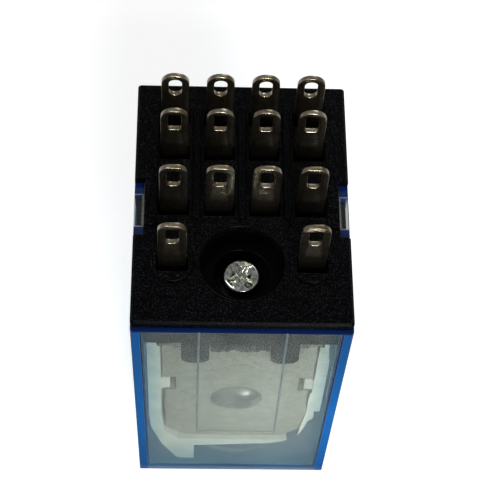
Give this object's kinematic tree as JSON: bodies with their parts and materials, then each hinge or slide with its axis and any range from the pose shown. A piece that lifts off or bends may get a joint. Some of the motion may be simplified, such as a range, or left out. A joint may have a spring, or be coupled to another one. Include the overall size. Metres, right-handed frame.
{
  "type": "plug-in relay",
  "caption": "Plug-in control relay: black terminal base with rows of flat blades with solder eyes, clear blue-tinted box cover, coil, yoke, hinged armature and changeover contacts.",
  "frame": {"origin": "centre of the cover's closed flat face", "axes": "+Z from the closed face to the tips of the terminal blades, X across the width, Y along the length with the coil terminals at -Y"},
  "size_m": [0.0208, 0.0282, 0.0414],
  "materials": {
    "clear_cover": "clear blue-tinted moulded polycarbonate, deep blue where it is seen edge-on",
    "black_base": "black moulded phenolic, fine grain",
    "nickel_brass": "nickel-plated brass, dull olive-grey faces with bright cut edges",
    "silver_contact": "silver alloy contact, satin",
    "spring_bronze": "rolled phosphor bronze strip",
    "copper_braid": "fine bare copper braid",
    "coil_wire": "enamelled copper wire",
    "plated_iron": "zinc-plated soft iron, dull grey",
    "bobbin_white": "white moulded glass-filled nylon",
    "carrier_cream": "cream moulded phenolic",
    "coil_tape": "white polyester tape",
    "spring_steel": "drawn spring wire",
    "zinc_steel": "bright zinc-plated steel"
  },
  "bodies": {
    "frame": {"cover": "clear_cover", "terminal_base": "black_base", "terminal_nc_1": "nickel_brass", "terminal_nc_2": "nickel_brass", "terminal_nc_3": "nickel_brass", "terminal_nc_4": "nickel_brass", "terminal_no_1": "nickel_brass", "terminal_no_2": "nickel_brass", "terminal_no_3": "nickel_brass", "terminal_no_4": "nickel_brass", "terminal_com_1": "nickel_brass", "terminal_com_2": "nickel_brass", "terminal_com_3": "nickel_brass", "terminal_com_4": "nickel_brass", "terminal_coil_1": "nickel_brass", "terminal_coil_2": "nickel_brass", "contact_nc_1": "silver_contact", "contact_nc_2": "silver_contact", "contact_nc_3": "silver_contact", "contact_nc_4": "silver_contact", "contact_no_1": "silver_contact", "contact_no_2": "silver_contact", "contact_no_3": "silver_contact", "contact_no_4": "silver_contact", "pigtail_1": "copper_braid", "pigtail_2": "copper_braid", "pigtail_3": "copper_braid", "pigtail_4": "copper_braid", "coil_lead_1": "coil_wire", "coil_lead_2": "coil_wire", "yoke": "plated_iron", "core": "plated_iron", "bobbin": "bobbin_white", "coil_winding": "coil_wire", "coil_tape": "coil_tape", "return_spring": "spring_steel", "base_screw": "zinc_steel"},
    "armature_group": {"armature": "plated_iron", "contact_carrier": "carrier_cream", "contact_moving_1": "silver_contact", "contact_moving_2": "silver_contact", "contact_moving_3": "silver_contact", "contact_moving_4": "silver_contact", "contact_spring_1": "spring_bronze", "contact_spring_2": "spring_bronze", "contact_spring_3": "spring_bronze", "contact_spring_4": "spring_bronze"}
  },
  "joints": [
    {"name": "armature_pivot", "type": "hinge", "parent": "frame", "child": "armature_group", "pos_m": [0, 0.0025, 0.0298], "axis": [-1, 0, 0], "range_deg": [0, 3.6], "stiffness_Nm_per_rad": 0.01, "springref_deg": -11.46, "deforming": ["return_spring", "pigtail_1", "pigtail_2", "pigtail_3", "pigtail_4"]}
  ]
}
